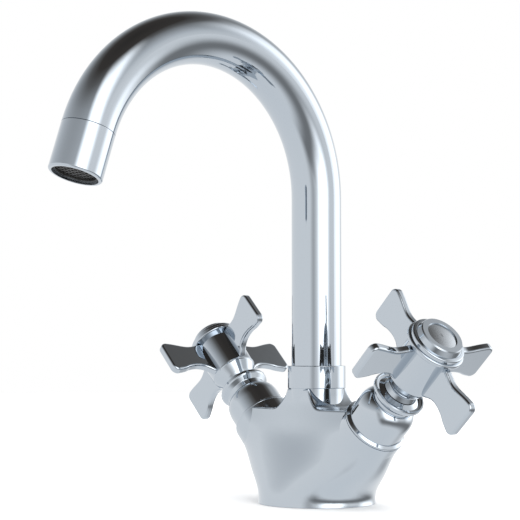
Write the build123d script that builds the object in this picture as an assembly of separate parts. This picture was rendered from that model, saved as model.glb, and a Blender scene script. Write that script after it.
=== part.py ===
from build123d import *
from math import copysign, cos, exp, pi, radians, sin, sqrt
import os

# Two-handle basin mixer with a swivelling C-shaped spout.
# Frame: +Z up, origin at the centre of the base's underside, front towards -Y.
# The two valve ports lean out along +X (cold) and -X (hot).

# ---- driving dimensions, millimetres and degrees ----
BASE_R = 25.8              # foot of the body
FOOT_HEIGHT = 4.0          # the foot stands straight this far before the body flares
NECK_R = 11.8              # top of the body, under the spout collar
NECK_TOP = 50.0
SADDLE_Z = 41.3            # floor of the hollow between the neck and a port
SADDLE_EDGE_R = 1.2
PORT_TILT = 47.6           # port axis from vertical
PORT_R = 13.9              # outside of a port at its mouth
PORT_MOUTH = 51.7          # every "along the port" distance starts at the body's origin
PORT_BORE_R = 10.0
PORT_SEAT = 25.0           # flat seat at the bottom of the port bore

SPOUT_BORE_R = 10.2        # socket in the body for the spout's foot
SPOUT_BORE_FLOOR = 30.0
TUBE_R = 11.0
TUBE_WALL = 1.0
TUBE_BOTTOM = 58.3
TUBE_STRAIGHT_TOP = 133.5
ARCH_R = 63.4
ARCH_SWEEP = 161.6
AERATOR_LENGTH = 19.8
SPOUT_AT_REST = 4.35       # the spout stands a little past straight ahead
SPOUT_SWING = 60.0         # each way from straight ahead

COLLAR_R = 12.75
COLLAR_TOP = 59.9

INLET_R = 4.5              # tapping size of an M10 x 1 hose inlet
INLET_X = 8.0
INLET_Y = -3.0
INLET_DEPTH = 14.0
STUD_R = 3.4               # tapping size of an M8 fixing stud
STUD_Y = 12.0
STUD_DEPTH = 16.0

COVER_R = 12.4             # bonnet cover
COVER_FOOT = 53.5
COVER_SHOULDER = 60.5
COVER_TOP = 67.3
HUB_R = 10.6
HUB_FOOT = 82.7
HUB_TOP = 101.3
PADDLE_REACH = 33.5
PADDLE_LOW = 84.2
PADDLE_HIGH = 101.9
PADDLE_WAIST_LOW = 86.9
PADDLE_WAIST_HIGH = 99.6
PADDLE_EDGE_R = 1.0
PADDLE_THICK = 3.6
SPINDLE_R = 4.1
GAP = 0.3                  # between pieces that move past each other
RUNNING = 0.05             # radial clearance of a shaft in its bore


def turned(points, rounds=()):
    """A solid of revolution about Z from (radius, height) points.
    rounds holds (point number, radius) for each corner that is rounded."""
    outline = make_face(Polyline(*[(r, 0, z) for r, z in points], close=True))
    for number, radius in rounds:
        r, z = points[number]
        corner = outline.vertices().sort_by_distance((r, 0, z))[0]
        outline = outline.face().fillet_2d(radius, [corner])
    return revolve(outline, Axis.Z)


def ring(outer, inner, low, high):
    """A plain ring or bush between two heights."""
    return turned([(inner, low), (outer, low), (outer, high), (inner, high)])


def rod(radius, low, high):
    """A plain cylinder between two heights."""
    return Pos(0, 0, low) * Cylinder(radius, high - low, align=(Align.CENTER, Align.CENTER, Align.MIN))


def o_ring(centre_r, height, section_r):
    """A round-section rubber ring lying level."""
    return Pos(0, 0, height) * Torus(centre_r, section_r)


def at_port(shape, side):
    """Carry a shape drawn about Z to the port on the +X (1) or -X (-1) side."""
    return Rot(0, 0, 0 if side > 0 else 180) * Rot(0, PORT_TILT, 0) * shape


# ---- body ----

def level_outline(half_length, half_width, squareness, swell, height):
    """Level section of the body: a rounded oval, squarer towards the top, whose
    front and back swell out round the neck."""
    count = 24
    points = []
    for number in range(count):
        turn = 2 * pi * number / count
        x = half_length * copysign(abs(cos(turn)) ** (2 / squareness), cos(turn))
        y = half_width * copysign(abs(sin(turn)) ** (2 / squareness), sin(turn))
        y += swell * sin(turn) * exp(-(x / 6.5) ** 2)
        points.append((x, y, height))
    return make_face(Spline(*points, periodic=True).edges())


def body_shell():
    """Outer form of the casting: a round foot that spreads sideways into both
    ports, with one smooth sheet across the front and one across the back."""
    # half length, half width, squareness, swell at the neck, height
    sections = [
        (BASE_R, BASE_R, 2.0, 0.0, 0.0),
        (BASE_R + 0.4, BASE_R - 0.3, 2.0, 0.0, FOOT_HEIGHT),
        (32.6, 23.7, 2.03, 0.0, 10.0),
        (40.0, 21.0, 2.1, 0.0, 17.0),
        (47.4, 17.7, 2.25, 0.0, 24.6),
        (62.0, 14.2, 3.0, 0.3, 33.0),
        (70.0, 10.9, 4.0, 1.5, 41.5),
        (72.0, 10.0, 4.0, 1.75, NECK_TOP),
    ]
    shell = loft([level_outline(*section) for section in sections])
    for side in (1, -1):
        beyond_mouth = Pos(0, 0, PORT_MOUTH) * Box(200, 200, 100, align=(Align.CENTER, Align.CENTER, Align.MIN))
        shell -= at_port(beyond_mouth, side)
        shell -= Rot(0, 0, 0 if side > 0 else 180) * saddle()
    ridges = [edge for edge in shell.edges()
              if edge.center().Z > SADDLE_Z - 1.5 and edge.length > 14.0 and abs(edge.center().Y) > 8.0]
    return fillet(ridges, SADDLE_EDGE_R)


def saddle():
    """Room above the body between the neck and the +X port: a hollow drawn along Y."""
    curve = Spline((6.6, 0, NECK_TOP + 1.0), (9.65, 0, 45.8), (12.7, 0, 42.5), (17.5, 0, SADDLE_Z),
                   tangents=((0.45, 0, -1), (1, 0, -0.02)))
    rest = Polyline((17.5, 0, SADDLE_Z), (40.0, 0, SADDLE_Z), (40.0, 0, 60.0), (6.6, 0, 60.0),
                    (6.6, 0, NECK_TOP + 1.0))
    return extrude(make_face(curve + rest), 40.0, both=True)


def neck_shell():
    """Round neck under the collar, which sinks into the front and back sheets."""
    side = Spline((13.2, 0, 30.0), (12.1, 0, 40.0), (NECK_R, 0, NECK_TOP - 3.0),
                  tangents=((-0.2, 0, 1), (0, 0, 1)))
    rest = Polyline((NECK_R, 0, NECK_TOP - 3.0), (NECK_R, 0, NECK_TOP), (0, 0, NECK_TOP), (0, 0, 30.0),
                    (13.2, 0, 30.0))
    return revolve(make_face(side + rest), Axis.Z)


def body_casting():
    """Brass casting: foot, two ports, neck and spigot, with its waterways bored out."""
    body = body_shell() + neck_shell()
    for side in (1, -1):
        body += at_port(rod(PORT_R, 30.0, PORT_MOUTH), side)
    body += rod(11.3, NECK_TOP - 2.0, COLLAR_TOP - 2.7)
    # spout socket, with a smaller mixing chamber under it
    body -= rod(SPOUT_BORE_R, SPOUT_BORE_FLOOR, COLLAR_TOP)
    body -= rod(6.5, SPOUT_BORE_FLOOR - 5.0, SPOUT_BORE_FLOOR)
    for side in (1, -1):
        # valve bore, inlet gallery along the port and the hose inlet below it
        body -= at_port(rod(PORT_BORE_R, PORT_SEAT, PORT_MOUTH + 5.0), side)
        body -= at_port(rod(4.0, 14.0, PORT_SEAT), side)
        body -= Pos(side * INLET_X, INLET_Y, 0) * rod(INLET_R, -1.0, INLET_DEPTH)
        # outlet gallery from the valve bore up to the mixing chamber
        body -= Rot(0, 0, 0 if side > 0 else 180) * outlet_gallery()
    body -= Pos(0, STUD_Y, 0) * rod(STUD_R, -1.0, STUD_DEPTH)
    body -= ring(23.3, 20.7, -1.0, 1.4)
    body -= retaining_hole()
    return body


def outlet_gallery():
    """Drilling from the +X valve bore to the mixing chamber."""
    start = Vector(20.5, 0, 22.5)
    end = Vector(3.0, 0, SPOUT_BORE_FLOOR - 1.5)
    return Plane(start, z_dir=end - start) * rod(2.6, 0, (end - start).length)


def retaining_hole():
    """Level tapped hole at the back of the neck for the spout's retaining screw."""
    return Pos(0, 9.0, 45.0) * Rot(-90, 0, 0) * rod(1.5, 0, 12.0)


def base_seal():
    """Rubber ring in the groove under the foot, flush with the foot."""
    return ring(23.3, 20.7, 0.0, 1.4)


# ---- valves: everything below is drawn about Z and carried to its port ----

def port_trim_ring():
    """Chrome bead between the port's mouth and the bonnet cover."""
    profile = [(11.9, PORT_MOUTH), (PORT_R - 0.05, PORT_MOUTH), (PORT_R - 0.05, 52.6), (12.6, COVER_FOOT),
               (11.9, COVER_FOOT)]
    return turned(profile, [(2, 0.5), (1, 0.35)])


def headwork_body():
    """Brass cartridge body: ported cup for the discs, threaded shank, hexagon and spindle guide."""
    body = turned([(8.5, 27.0), (9.4, 27.0), (9.4, 40.0), (9.95, 40.0), (9.95, PORT_MOUTH), (11.5, PORT_MOUTH),
                   (11.5, 52.8), (9.0, 52.8), (9.0, 56.0), (7.4, 57.0), (7.4, 66.2),
                   (SPINDLE_R + RUNNING, 66.2), (SPINDLE_R + RUNNING, 37.0), (8.5, 37.0)])
    hexagon = Pos(0, 0, 52.8) * extrude(RegularPolygon(10.6, 6), 3.2)
    body += hexagon - rod(8.0, 52.0, 57.0)
    window = Pos(9.0, 0, 32.0) * Box(6.0, 11.0, 4.0)
    return body - window - Rot(0, 0, 180) * window


def headwork_seal():
    """Rubber lip seal that the fixed disc presses on the port's seat."""
    return ring(8.3, 4.6, PORT_SEAT, 27.0)


def fixed_disc():
    """Lower ceramic disc, held in the cartridge, with two sector openings."""
    disc = rod(8.4, 27.0, 29.9)
    opening = Pos(4.3, 0, 28.5) * Box(4.6, 5.0, 5.0)
    return disc - opening - Rot(0, 0, 180) * opening


def moving_disc():
    """Upper ceramic disc, turned by the spindle; its web covers the openings when shut."""
    disc = rod(8.2, 30.0, 32.9)
    opening = Pos(0, 4.3, 31.5) * Box(5.0, 4.6, 5.0)
    return disc - opening - Rot(0, 0, 180) * opening


def spindle():
    """Brass spindle: dog plate over the moving disc, shaft with seal grooves, splined end."""
    shaft = turned([(0, 33.0), (7.9, 33.0), (7.9, 36.6), (SPINDLE_R, 36.6), (SPINDLE_R, 68.0), (3.5, 68.6),
                    (3.5, 86.0), (0, 86.0)])
    for height in (44.0, 49.0):
        shaft -= ring(5.0, 2.95, height - 0.7, height + 0.7)
    shaft -= ring(5.0, 3.4, 66.5, 67.3)
    teeth = [Rot(0, 0, 18 * count) * Pos(3.75, 0, 81.5) * Box(0.7, 0.6, 8.0) for count in range(20)]
    for tooth in teeth:
        shaft += tooth
    return shaft - rod(2.1, 74.0, 86.0)


def spindle_seals():
    """Two rubber O-rings in the spindle's grooves."""
    return o_ring(3.52, 44.0, 0.55) + o_ring(3.52, 49.0, 0.55)


def spindle_circlip():
    """Spring clip that keeps the spindle in the cartridge."""
    clip = ring(5.6, 3.42, 66.55, 67.25)
    return clip - Pos(4.5, 0, 66.9) * Box(4.0, 3.6, 2.0)


def bonnet_cover():
    """Domed chrome cover over the cartridge: straight skirt and a tall rounded shoulder."""
    outside = Spline((COVER_R, 0, COVER_SHOULDER), (11.47, 0, 64.9), (9.5, 0, COVER_TOP),
                     tangents=((0, 0, 1), (-0.8, 0, 0.6)))
    inside = Spline((11.4, 0, COVER_SHOULDER), (10.5, 0, 64.2), (8.8, 0, COVER_TOP - 1.1),
                    tangents=((0, 0, 1), (-0.8, 0, 0.6)))
    skirt = Polyline((11.4, 0, COVER_SHOULDER), (11.4, 0, COVER_FOOT + 1.0), (11.9, 0, COVER_FOOT + 0.6),
                     (11.9, 0, COVER_FOOT), (COVER_R, 0, COVER_FOOT), (COVER_R, 0, COVER_SHOULDER))
    top = Polyline((9.5, 0, COVER_TOP), (7.5, 0, COVER_TOP), (7.5, 0, COVER_TOP - 1.1),
                   (8.8, 0, COVER_TOP - 1.1))
    return revolve(make_face(outside + top + inside + skirt), Axis.Z)


def escutcheon():
    """Rimmed flange on a short neck above the cover, with a raised boss that the handle turns over."""
    profile = [(7.5, COVER_TOP), (9.1, COVER_TOP), (9.5, 69.6), (11.2, 71.2), (11.5, 71.9), (11.5, 73.0), (11.2, 73.4),
               (10.7, 73.4), (10.4, 72.8), (9.45, 72.7), (7.5, 73.8), (6.6, 73.8), (6.6, 68.0), (7.5, 68.0)]
    return turned(profile, [(3, 0.4), (2, 0.6)])


# ---- handles ----

def paddle():
    """One flat arm of the cross, standing out along +X: waisted, spread where it
    meets the hub, with round corners and rounded edges."""
    shoulder = PADDLE_REACH - 3.0
    upper = Spline((8.0, 0, HUB_TOP - 0.1), (14.2, 0, 100.4), (18.8, 0, PADDLE_WAIST_HIGH), (24.0, 0, 100.5),
                   (shoulder, 0, PADDLE_HIGH), tangents=((1, 0, -0.05), (1, 0, 0.12)))
    lower = Spline((8.0, 0, HUB_FOOT + 0.2), (10.8, 0, HUB_FOOT + 0.6), (14.2, 0, 85.6), (18.8, 0, PADDLE_WAIST_LOW),
                   (24.0, 0, 86.1), (shoulder, 0, PADDLE_LOW), tangents=((1, 0, 0), (1, 0, -0.2)))
    tip = Polyline((shoulder, 0, PADDLE_HIGH), (PADDLE_REACH, 0, PADDLE_HIGH), (PADDLE_REACH, 0, PADDLE_LOW),
                   (shoulder, 0, PADDLE_LOW))
    root = Line((8.0, 0, HUB_TOP - 0.1), (8.0, 0, HUB_FOOT + 0.2))
    outline = make_face(upper + tip + lower + root)
    corners = outline.vertices().sort_by(Axis.X)[-2:]
    outline = outline.face().fillet_2d(2.9, corners)
    blade = extrude(outline, PADDLE_THICK / 2, both=True)
    rims = [edge for edge in blade.edges() if abs(abs(edge.center().Y) - PADDLE_THICK / 2) < 0.01
            and edge.center().X > 8.5]
    return fillet(rims, PADDLE_EDGE_R)


def cross_handle():
    """Brass hub and four paddles in one piece, hollow for the insert and its screw."""
    handle = turned([(0, 74.1), (7.3, 74.1), (6.5, 75.9), (7.75, 77.6), (7.5, 77.8), (10.1, 81.9), (10.25, 82.4),
                     (HUB_R, HUB_FOOT), (HUB_R, HUB_TOP), (0, HUB_TOP)])
    for quarter in range(4):
        handle += Rot(0, 0, 90 * quarter) * paddle()
    handle -= rod(5.9, 74.0, 88.0)
    handle -= rod(4.6, 88.0, HUB_TOP)
    return handle


def spline_insert():
    """Acetal bush pressed in the hub, which grips the spindle's splines."""
    insert = rod(5.9, 77.5, 88.0) - rod(4.15, 77.5, 86.0) - rod(2.4, 86.0, 88.0)
    for count in range(20):
        insert += Rot(0, 0, 18 * count + 9) * Pos(4.0, 0, 81.5) * Box(0.4, 0.4, 7.6)
    return insert


def handle_screw():
    """Cross-head screw through the insert into the spindle."""
    screw = rod(2.1, 76.0, 88.0) + rod(4.2, 88.0, 90.8)
    for turn in (0, 90):
        screw -= Rot(0, 0, turn) * Pos(0, 0, 90.2) * Box(4.2, 0.9, 1.6)
    return screw


def stepped_collar():
    """Two stacked beads round the top of the hub."""
    profile = [(4.6, HUB_TOP), (12.9, HUB_TOP), (12.9, 103.2), (11.7, 103.4), (12.0, 103.5), (12.0, 105.2),
               (10.5, 105.4), (4.6, 105.4)]
    return turned(profile, [(5, 0.7), (2, 0.7), (1, 0.7)])


def cap_ring():
    """Bevelled rim that holds the index button and screws into the hub."""
    profile = [(3.4, 97.0), (4.6, 97.0), (4.6, 105.4), (10.3, 105.4), (9.5, 107.6), (9.1, 108.1), (6.8, 108.1),
               (6.8, 106.4), (3.4, 106.4)]
    return turned(profile)


def index_button():
    """Shallow domed button, blank, set in the cap's rim."""
    dish = rod(6.8, 106.4, 107.6)
    crown_r = 48.0
    crown = Pos(0, 0, 108.05 - crown_r) * Sphere(crown_r)
    return (rod(6.75, 107.0, 109.0) & crown) + dish


# ---- spout, drawn straight ahead (towards -Y) ----

def spout_path():
    """Centre line of the tube: up, then over in one arc."""
    rise = Line((0, 0, TUBE_BOTTOM), (0, 0, TUBE_STRAIGHT_TOP))
    top = TUBE_STRAIGHT_TOP
    half = radians(ARCH_SWEEP / 2)
    full = radians(ARCH_SWEEP)
    middle = (0, -ARCH_R * (1 - cos(half)), top + ARCH_R * sin(half))
    end = (0, -ARCH_R * (1 - cos(full)), top + ARCH_R * sin(full))
    return rise + ThreePointArc((0, 0, top), middle, end)


def spout_tube():
    """Bent brass tube of constant bore."""
    path = spout_path()
    outline = Pos(0, 0, TUBE_BOTTOM) * (Circle(TUBE_R) - Circle(TUBE_R - TUBE_WALL))
    return sweep(outline, path=path)


def at_mouth(shape):
    """Carry a shape drawn about Z, from 0 at the tube's end to the mouth, to the spout's end."""
    full = radians(ARCH_SWEEP)
    end = (0, -ARCH_R * (1 - cos(full)), TUBE_STRAIGHT_TOP + ARCH_R * sin(full))
    return Plane(end, x_dir=(1, 0, 0), z_dir=(0, -sin(full), cos(full))) * shape


def aerator_housing():
    """Chrome sleeve that carries on the tube to its rounded lip."""
    profile = [(9.0, -4.5), (9.65, -4.5), (9.65, 0.0), (TUBE_R, 0.0), (TUBE_R, AERATOR_LENGTH),
               (9.5, AERATOR_LENGTH), (9.5, 7.0), (8.2, 7.0), (8.2, 0.0)]
    return turned(profile, [(4, 0.8), (3, 0.35)])


def aerator_insert():
    """Moulded flow straightener: a rimmed cup with cross ribs."""
    cup = turned([(7.6, 9.0), (9.45, 9.0), (9.45, 18.6), (8.3, 18.6), (8.3, 10.6), (7.6, 10.6)])
    ribs = Part()
    for offset in (-6.0, -4.0, -2.0, 0.0, 2.0, 4.0, 6.0):
        length = 2 * sqrt(8.4 ** 2 - offset ** 2)
        ribs += Pos(offset, 0, 17.2) * Box(0.6, length, 1.6)
        ribs += Pos(0, offset, 17.2) * Box(length, 0.6, 1.6)
    return cup + ribs


def aerator_screen():
    """Perforated steel disc above the ribs."""
    plate = rod(8.2, 12.0, 12.5)
    for row in range(-3, 4):
        for column in range(-3, 4):
            if row * row + column * column <= 10:
                plate -= Pos(2.1 * column, 2.1 * row, 0) * rod(0.6, 11.0, 13.0)
    return plate


def aerator_screen_ring():
    """Acetal ring that keeps the screen up against the cup's shoulder."""
    return ring(8.25, 7.2, 10.7, 12.0)


def aerator_washer():
    """Flat rubber washer between the housing's shoulder and the insert."""
    return ring(9.45, 7.2, 7.0, 9.0)


def spout_foot():
    """Brass foot: plug in the tube, journal with seal grooves, and a part-turn slot for the screw."""
    journal = SPOUT_BORE_R - RUNNING
    foot = turned([(6.5, 31.0), (journal, 31.0), (journal, TUBE_BOTTOM), (TUBE_R - TUBE_WALL, TUBE_BOTTOM),
                   (TUBE_R - TUBE_WALL, 68.0), (6.5, 68.0)])
    for height in (35.0, 40.0):
        foot -= ring(11.0, 8.0, height - 1.1, height + 1.1)
    foot -= ring(11.0, 8.9, 52.0, 54.0)
    # the slot runs round the back; its ends stop the spout each way
    slot_half = SPOUT_SWING + 12.5
    groove = revolve(Pos(0, 0, 45.0) * Rot(90, 0, 0) * (Pos(10.0, 0, 0) * Rectangle(3.6, 3.6)), Axis.Z,
                     revolution_arc=2 * slot_half)
    return foot - Rot(0, 0, 90 - slot_half) * groove


def spout_seals():
    """Two rubber O-rings on the foot."""
    return Compound(children=[o_ring(9.1, height, 1.0) for height in (35.0, 40.0)])


def spout_slide_ring():
    """Acetal bearing ring that steadies the foot in the socket."""
    return ring(SPOUT_BORE_R - RUNNING, 8.95, 52.05, 53.95)


def spout_collar():
    """Chrome ring on the body's spigot that hides the swivel joint."""
    profile = [(11.35, NECK_TOP), (COLLAR_R, NECK_TOP), (COLLAR_R, COLLAR_TOP), (TUBE_R + GAP, COLLAR_TOP),
               (TUBE_R + GAP, COLLAR_TOP - 2.0), (11.35, COLLAR_TOP - 2.6)]
    return turned(profile, [(1, 0.3), (2, 0.4)])


def retaining_screw():
    """Socket grub screw whose tip runs in the foot's slot."""
    screw = rod(1.5, 0, 3.3) - Pos(0, 0, 2.5) * extrude(RegularPolygon(0.8, 6), 2.0)
    return Pos(0, 8.6, 45.0) * Rot(-90, 0, 0) * screw


os.makedirs("parts", exist_ok=True)

export_step(body_casting(), "parts/body_casting.step")
export_step(base_seal(), "parts/base_seal.step")
export_step(spout_collar(), "parts/spout_collar.step")
export_step(retaining_screw(), "parts/spout_retaining_screw.step")

valve_pieces = {
    "port_trim_ring": port_trim_ring(),
    "headwork_body": headwork_body(),
    "headwork_seal": headwork_seal(),
    "fixed_disc": fixed_disc(),
    "moving_disc": moving_disc(),
    "spindle": spindle(),
    "spindle_seals": spindle_seals(),
    "spindle_circlip": spindle_circlip(),
    "bonnet_cover": bonnet_cover(),
    "escutcheon": escutcheon(),
    "cross_handle": cross_handle(),
    "spline_insert": spline_insert(),
    "handle_screw": handle_screw(),
    "stepped_collar": stepped_collar(),
    "cap_ring": cap_ring(),
    "index_button": index_button(),
}
for name, piece in valve_pieces.items():
    export_step(at_port(piece, 1), f"parts/cold_{name}.step")
    export_step(at_port(piece, -1), f"parts/hot_{name}.step")

spout_pieces = {
    "spout_tube": spout_tube(),
    "spout_foot": spout_foot(),
    "spout_seals": spout_seals(),
    "spout_slide_ring": spout_slide_ring(),
    "aerator_housing": at_mouth(aerator_housing()),
    "aerator_insert": at_mouth(aerator_insert()),
    "aerator_screen": at_mouth(aerator_screen()),
    "aerator_screen_ring": at_mouth(aerator_screen_ring()),
    "aerator_washer": at_mouth(aerator_washer()),
}
for name, piece in spout_pieces.items():
    export_step(Rot(0, 0, SPOUT_AT_REST) * piece, f"parts/{name}.step")
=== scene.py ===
import math

import bmesh
import bpy
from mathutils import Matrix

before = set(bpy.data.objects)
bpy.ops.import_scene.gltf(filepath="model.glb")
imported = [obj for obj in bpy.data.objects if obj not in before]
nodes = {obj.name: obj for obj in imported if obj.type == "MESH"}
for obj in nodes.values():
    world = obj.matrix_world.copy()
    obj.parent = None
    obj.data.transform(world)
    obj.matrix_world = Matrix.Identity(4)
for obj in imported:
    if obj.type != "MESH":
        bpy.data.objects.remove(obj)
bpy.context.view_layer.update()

scene = bpy.context.scene

# ---- camera ----
# A long lens at the height of the handles, a little to the front of the cold
# side, so that the spout reaches across to the left.
camera_data = bpy.data.cameras.new("camera")
camera_data.sensor_width = 36.0
camera_data.lens = 110.15
camera_data.clip_start = 0.05
camera = bpy.data.objects.new("camera", camera_data)
camera.location = (0.5438, -0.4455, 0.0688)
camera.rotation_euler = (math.radians(93.07), 0.0, math.radians(52.71))
scene.collection.objects.link(camera)
scene.camera = camera

# ---- studio ----
# A white room with a dark ceiling and two tall soft boxes to the right of the
# camera. Chrome has no colour of its own: this room is what it shows.


def add(tree, kind, settings=None, links=None):
    """Adds a node, with its properties and input values set and its inputs linked."""
    made = tree.nodes.new(kind)
    for key, value in (settings or {}).items():
        if isinstance(key, str) and hasattr(made, key):
            setattr(made, key, value)
        else:
            made.inputs[key].default_value = value
    for socket, source in (links or {}).items():
        tree.links.new(source, made.inputs[socket])
    return made


def linear(hex_colour):
    """A colour given as an sRGB hex value, as Blender's linear red, green, blue and alpha."""
    parts = [int(hex_colour[at:at + 2], 16) / 255 for at in (1, 3, 5)]
    return [p / 12.92 if p <= 0.04045 else ((p + 0.055) / 1.055) ** 2.4 for p in parts] + [1.0]


scene.view_settings.view_transform = "Standard"
room = bpy.data.worlds.new("white_room")
room.use_nodes = True
scene.world = room
sky = room.node_tree
sky.nodes.clear()
compass = add(sky, "ShaderNodeTexCoord")
axes = add(sky, "ShaderNodeSeparateXYZ", links={0: compass.outputs["Generated"]})
bearing = add(sky, "ShaderNodeMath", {"operation": "ARCTAN2"}, {0: axes.outputs["Y"], 1: axes.outputs["X"]})
height = add(sky, "ShaderNodeMath", {"operation": "ARCSINE"}, {0: axes.outputs["Z"]})
camera_bearing = math.atan2(camera.location.y, camera.location.x)


def patch(right, half_width, up, half_height, blur, strength):
    """A soft-edged rectangle on the room's walls, in degrees right of the camera
    and above the horizon: strength inside it and 0 outside."""
    edges = []
    for source, centre, half in ((bearing, camera_bearing + math.radians(right), half_width),
                                 (height, math.radians(up), half_height)):
        off = add(sky, "ShaderNodeMath", {"operation": "SUBTRACT", 1: centre}, {0: source.outputs[0]})
        off = add(sky, "ShaderNodeMath", {"operation": "WRAP", 1: math.pi, 2: -math.pi}, {0: off.outputs[0]})
        off = add(sky, "ShaderNodeMath", {"operation": "ABSOLUTE"}, {0: off.outputs[0]})
        fade = add(sky, "ShaderNodeMapRange",
                   {"interpolation_type": "SMOOTHSTEP", "From Min": math.radians(half - blur),
                    "From Max": math.radians(half + blur), "To Min": 1.0, "To Max": 0.0},
                   {"Value": off.outputs[0]})
        edges.append(fade.outputs["Result"])
    inside = add(sky, "ShaderNodeMath", {"operation": "MULTIPLY"}, {0: edges[0], 1: edges[1]})
    scaled = add(sky, "ShaderNodeMath", {"operation": "MULTIPLY", 1: strength}, {0: inside.outputs[0]})
    return scaled.outputs[0]


# the wall's brightness from the floor up to the ceiling
level = add(sky, "ShaderNodeMapRange", {"From Min": -math.pi / 2, "From Max": math.pi / 2},
            {"Value": height.outputs[0]})
wall = add(sky, "ShaderNodeValToRGB", links={"Fac": level.outputs["Result"]})
wall_heights = ((0.0, "#f6f8fa"), (0.57, "#ffffff"), (0.64, "#dcdee0"), (0.725, "#acadae"),
                (0.80, "#706e6c"), (0.86, "#47423e"), (1.0, "#3c3835"))
while len(wall.color_ramp.elements) < len(wall_heights):
    wall.color_ramp.elements.new(0.5)
for element, (place, colour) in zip(wall.color_ramp.elements, wall_heights):
    element.position = place
    element.color = linear(colour)
# a dim stretch of floor to the right, and a dim gap beside the first soft box
dim_floor = patch(right=62, half_width=82, up=-25, half_height=17, blur=15, strength=0.72)
dim_gap = patch(right=-14, half_width=9, up=-4, half_height=22, blur=9, strength=0.38)
dim = add(sky, "ShaderNodeMath", {"operation": "MAXIMUM"}, {0: dim_floor, 1: dim_gap})
kept = add(sky, "ShaderNodeMath", {"operation": "SUBTRACT", 0: 1.0}, {1: dim.outputs[0]})
walls = add(sky, "ShaderNodeBackground", links={"Color": wall.outputs["Color"], "Strength": kept.outputs[0]})
near_box = patch(right=32, half_width=22, up=21, half_height=32, blur=12, strength=1.6)
far_box = patch(right=117, half_width=19, up=17, half_height=25, blur=13, strength=1.2)
boxes = add(sky, "ShaderNodeMath", {"operation": "ADD"}, {0: near_box, 1: far_box})
soft_boxes = add(sky, "ShaderNodeBackground", {"Color": linear("#ffffff")}, {"Strength": boxes.outputs[0]})
lit = add(sky, "ShaderNodeAddShader", links={0: walls.outputs[0], 1: soft_boxes.outputs[0]})
# straight behind the object the room is plain white
backdrop = add(sky, "ShaderNodeBackground", {"Color": linear("#ffffff")})
ray = add(sky, "ShaderNodeLightPath")
seen = add(sky, "ShaderNodeMixShader",
           links={0: ray.outputs["Is Camera Ray"], 1: lit.outputs[0], 2: backdrop.outputs[0]})
add(sky, "ShaderNodeOutputWorld", links={"Surface": seen.outputs[0]})

# the floor, a hair below the foot, and an overhead light for it alone: both are
# hidden from reflections, so that the chrome shows only the room
FLOOR_RADIUS = 1.6
FLOOR_DROP = 0.0002
OVERHEAD_SIDE = 4.0
OVERHEAD_HEIGHT = 1.6
floor_mesh = bpy.data.meshes.new("floor")
sheet = bmesh.new()
bmesh.ops.create_circle(sheet, cap_ends=True, segments=64, radius=FLOOR_RADIUS)
sheet.to_mesh(floor_mesh)
sheet.free()
floor = bpy.data.objects.new("floor", floor_mesh)
floor.location.z = -FLOOR_DROP
floor.visible_glossy = False
scene.collection.objects.link(floor)
floor_paint = bpy.data.materials.new("white_floor_paint")
floor_paint.use_nodes = True
coat = floor_paint.node_tree.nodes["Principled BSDF"]
coat.inputs["Base Color"].default_value = linear("#f4f4f4")
coat.inputs["Roughness"].default_value = 0.7
floor_mesh.materials.append(floor_paint)

overhead_data = bpy.data.lights.new("overhead", "AREA")
overhead_data.shape = "RECTANGLE"
overhead_data.size = OVERHEAD_SIDE
overhead_data.size_y = OVERHEAD_SIDE
overhead_data.energy = 84.0
overhead = bpy.data.objects.new("overhead", overhead_data)
overhead.location = (0.0, 0.0, OVERHEAD_HEIGHT)
overhead.visible_glossy = False
overhead.visible_camera = False
scene.collection.objects.link(overhead)

# ---- body ----
# One brass casting, turned and bored, then polished and plated with nickel and
# bright chrome. The foot's rubber ring sits flush in a groove under it.


def finish_of(name, colour, metallic, roughness):
    """A new material with its Principled shader, ready for its pattern nodes."""
    material = bpy.data.materials.new(name)
    material.use_nodes = True
    shader = material.node_tree.nodes["Principled BSDF"]
    shader.inputs["Base Color"].default_value = linear(colour)
    shader.inputs["Metallic"].default_value = metallic
    shader.inputs["Roughness"].default_value = roughness
    return material, material.node_tree, shader


def speckle(tree, size_mm, detail=2.0, stretch=(1.0, 1.0, 1.0)):
    """Noise on the piece's own coordinates with features of a real size in millimetres."""
    place = add(tree, "ShaderNodeTexCoord")
    turn = add(tree, "ShaderNodeMapping", {"Scale": stretch}, {"Vector": place.outputs["Object"]})
    return add(tree, "ShaderNodeTexNoise", {"Scale": 1000.0 / size_mm, "Detail": detail},
               {"Vector": turn.outputs["Vector"]})


def vary(tree, pattern, low, high):
    """The pattern's middle, where most of its values lie, spread from low to high."""
    return add(tree, "ShaderNodeMapRange", {"From Min": 0.3, "From Max": 0.7, "To Min": low, "To Max": high},
               {"Value": pattern.outputs["Fac"]}).outputs["Result"]


def dress(material, *names):
    """Puts a material in every slot of the named pieces."""
    for name in names:
        for slot in nodes[name].material_slots:
            slot.material = material


# Bright chrome over buffed brass: a hard cool mirror. The buffing leaves a faint
# unevenness a few millimetres across and a haze that varies with it.
CHROME_COLOUR = "#bec6ce"
BUFFING_MM = 6.0
BUFFING_DEPTH = 0.0002
HAZE_MM = 1.4
chrome, tree, shader = finish_of("bright_chrome_on_buffed_brass", CHROME_COLOUR, 1.0, 0.05)
haze = speckle(tree, HAZE_MM, detail=4.0)
tree.links.new(vary(tree, haze, 0.035, 0.07), shader.inputs["Roughness"])
buffing = speckle(tree, BUFFING_MM, detail=1.0)
ripple = add(tree, "ShaderNodeBump", {"Strength": 0.05, "Distance": BUFFING_DEPTH},
             {"Height": buffing.outputs["Fac"]})
tree.links.new(ripple.outputs["Normal"], shader.inputs["Normal"])
dress(chrome, "body_casting")

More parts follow.
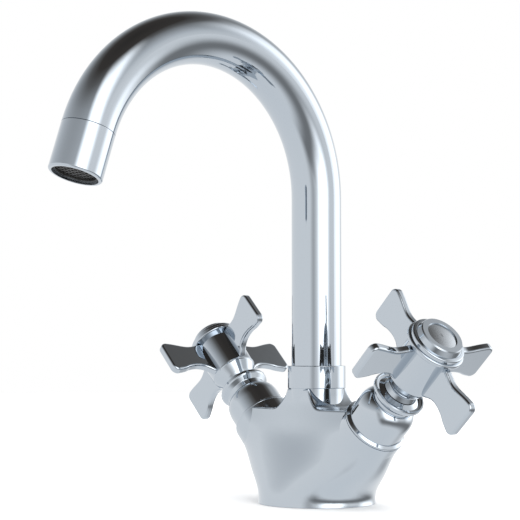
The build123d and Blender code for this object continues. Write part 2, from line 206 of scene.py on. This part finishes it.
# EPDM rubber, moulded: matt near-black with a fine even grain.
RUBBER_COLOUR = "#1b1b1c"
RUBBER_GRAIN_MM = 0.4
RUBBER_GRAIN_DEPTH = 0.00005
rubber, tree, shader = finish_of("moulded_epdm_rubber", RUBBER_COLOUR, 0.0, 0.7)
grain = speckle(tree, RUBBER_GRAIN_MM)
tree.links.new(vary(tree, grain, 0.6, 0.8), shader.inputs["Roughness"])
pimple = add(tree, "ShaderNodeBump", {"Strength": 0.25, "Distance": RUBBER_GRAIN_DEPTH},
             {"Height": grain.outputs["Fac"]})
tree.links.new(pimple.outputs["Normal"], shader.inputs["Normal"])
dress(rubber, "base_seal")

# ---- valves ----
# A ceramic-disc cartridge in each port: brass body and spindle, alumina discs,
# rubber seals and a steel clip, closed in by chromed trim.

# Free-cutting brass straight off the lathe: warm yellow with fine turning lines.
BRASS_COLOUR = "#d8b76c"
BRASS_LINE_MM = 0.35
BRASS_LINE_DEPTH = 0.00004
brass, tree, shader = finish_of("turned_brass", BRASS_COLOUR, 1.0, 0.3)
lines = speckle(tree, BRASS_LINE_MM, stretch=(0.15, 0.15, 1.0))
tree.links.new(vary(tree, lines, 0.22, 0.38), shader.inputs["Roughness"])
cut = add(tree, "ShaderNodeBump", {"Strength": 0.2, "Distance": BRASS_LINE_DEPTH},
          {"Height": lines.outputs["Fac"]})
tree.links.new(cut.outputs["Normal"], shader.inputs["Normal"])

# Sintered alumina, ground and lapped: opaque warm white with a soft sheen.
ALUMINA_COLOUR = "#ece8df"
ALUMINA_IOR = 1.76
ALUMINA_GRIT_MM = 0.5
alumina, tree, shader = finish_of("lapped_alumina", ALUMINA_COLOUR, 0.0, 0.22)
shader.inputs["IOR"].default_value = ALUMINA_IOR
grit = speckle(tree, ALUMINA_GRIT_MM, detail=3.0)
tree.links.new(vary(tree, grit, 0.16, 0.3), shader.inputs["Roughness"])

# Stainless spring steel and mesh: grey metal with a rolled grain.
STAINLESS_COLOUR = "#b9b7b2"
ROLLED_GRAIN_MM = 0.3
stainless, tree, shader = finish_of("rolled_stainless", STAINLESS_COLOUR, 1.0, 0.28)
rolled = speckle(tree, ROLLED_GRAIN_MM, stretch=(1.0, 0.2, 1.0))
tree.links.new(vary(tree, rolled, 0.2, 0.38), shader.inputs["Roughness"])

for side in ("cold_", "hot_"):
    dress(chrome, side + "port_trim_ring", side + "bonnet_cover", side + "escutcheon")
    dress(brass, side + "headwork_body", side + "spindle")
    dress(alumina, side + "fixed_disc", side + "moving_disc")
    dress(rubber, side + "headwork_seal", side + "spindle_seals")
    dress(stainless, side + "spindle_circlip")

# ---- handles ----
# A cast and chromed brass cross, pushed on the splined spindle over a moulded
# insert, held by a screw under the two beads and the cap.

# Acetal, moulded natural: a slightly translucent, waxy off-white.
NATURAL_ACETAL_COLOUR = "#e4e2da"
ACETAL_IOR = 1.48
ACETAL_GLOW_DEPTH = 0.002
ACETAL_FLOW_MM = 3.0
white_acetal, tree, shader = finish_of("natural_acetal", NATURAL_ACETAL_COLOUR, 0.0, 0.4)
shader.inputs["IOR"].default_value = ACETAL_IOR
shader.inputs["Subsurface Weight"].default_value = 0.15
shader.inputs["Subsurface Radius"].default_value = (ACETAL_GLOW_DEPTH,) * 3
flow = speckle(tree, ACETAL_FLOW_MM)
tree.links.new(vary(tree, flow, 0.33, 0.47), shader.inputs["Roughness"])

# The index button's plate: the same chrome left slightly satin, and blank.
BUTTON_COLOUR = "#c6ccd2"
BUTTON_GRAIN_MM = 0.5
satin, tree, shader = finish_of("slightly_satin_chrome", BUTTON_COLOUR, 1.0, 0.2)
brushed = speckle(tree, BUTTON_GRAIN_MM, detail=3.0)
tree.links.new(vary(tree, brushed, 0.17, 0.26), shader.inputs["Roughness"])

for side in ("cold_", "hot_"):
    dress(chrome, side + "cross_handle", side + "stepped_collar", side + "cap_ring")
    dress(satin, side + "index_button")
    dress(white_acetal, side + "spline_insert")
    dress(stainless, side + "handle_screw")

# ---- spout ----
# A drawn brass tube bent to one arc and chromed, brazed to a brass foot that
# turns in the body on two rubber rings and an acetal slide ring. A chromed
# collar covers the joint, and a screw in the back of the neck holds the foot.
dress(chrome, "spout_tube", "spout_collar")
dress(brass, "spout_foot")
dress(rubber, "spout_seals")
dress(white_acetal, "spout_slide_ring")
dress(stainless, "spout_retaining_screw")

# ---- aerator ----
# A chromed sleeve screwed into the tube, holding a moulded straightener, a
# perforated steel disc, its ring and a flat washer.

# Acetal, moulded charcoal: dark satin plastic with a spark-eroded texture.
CHARCOAL_ACETAL_COLOUR = "#2b2a29"
SPARK_TEXTURE_MM = 0.25
SPARK_TEXTURE_DEPTH = 0.00003
dark_acetal, tree, shader = finish_of("charcoal_acetal", CHARCOAL_ACETAL_COLOUR, 0.0, 0.45)
shader.inputs["IOR"].default_value = ACETAL_IOR
spark = speckle(tree, SPARK_TEXTURE_MM)
tree.links.new(vary(tree, spark, 0.36, 0.56), shader.inputs["Roughness"])
pits = add(tree, "ShaderNodeBump", {"Strength": 0.2, "Distance": SPARK_TEXTURE_DEPTH},
           {"Height": spark.outputs["Fac"]})
tree.links.new(pits.outputs["Normal"], shader.inputs["Normal"])

dress(chrome, "aerator_housing")
dress(dark_acetal, "aerator_insert", "aerator_screen_ring")
dress(stainless, "aerator_screen")
dress(rubber, "aerator_washer")
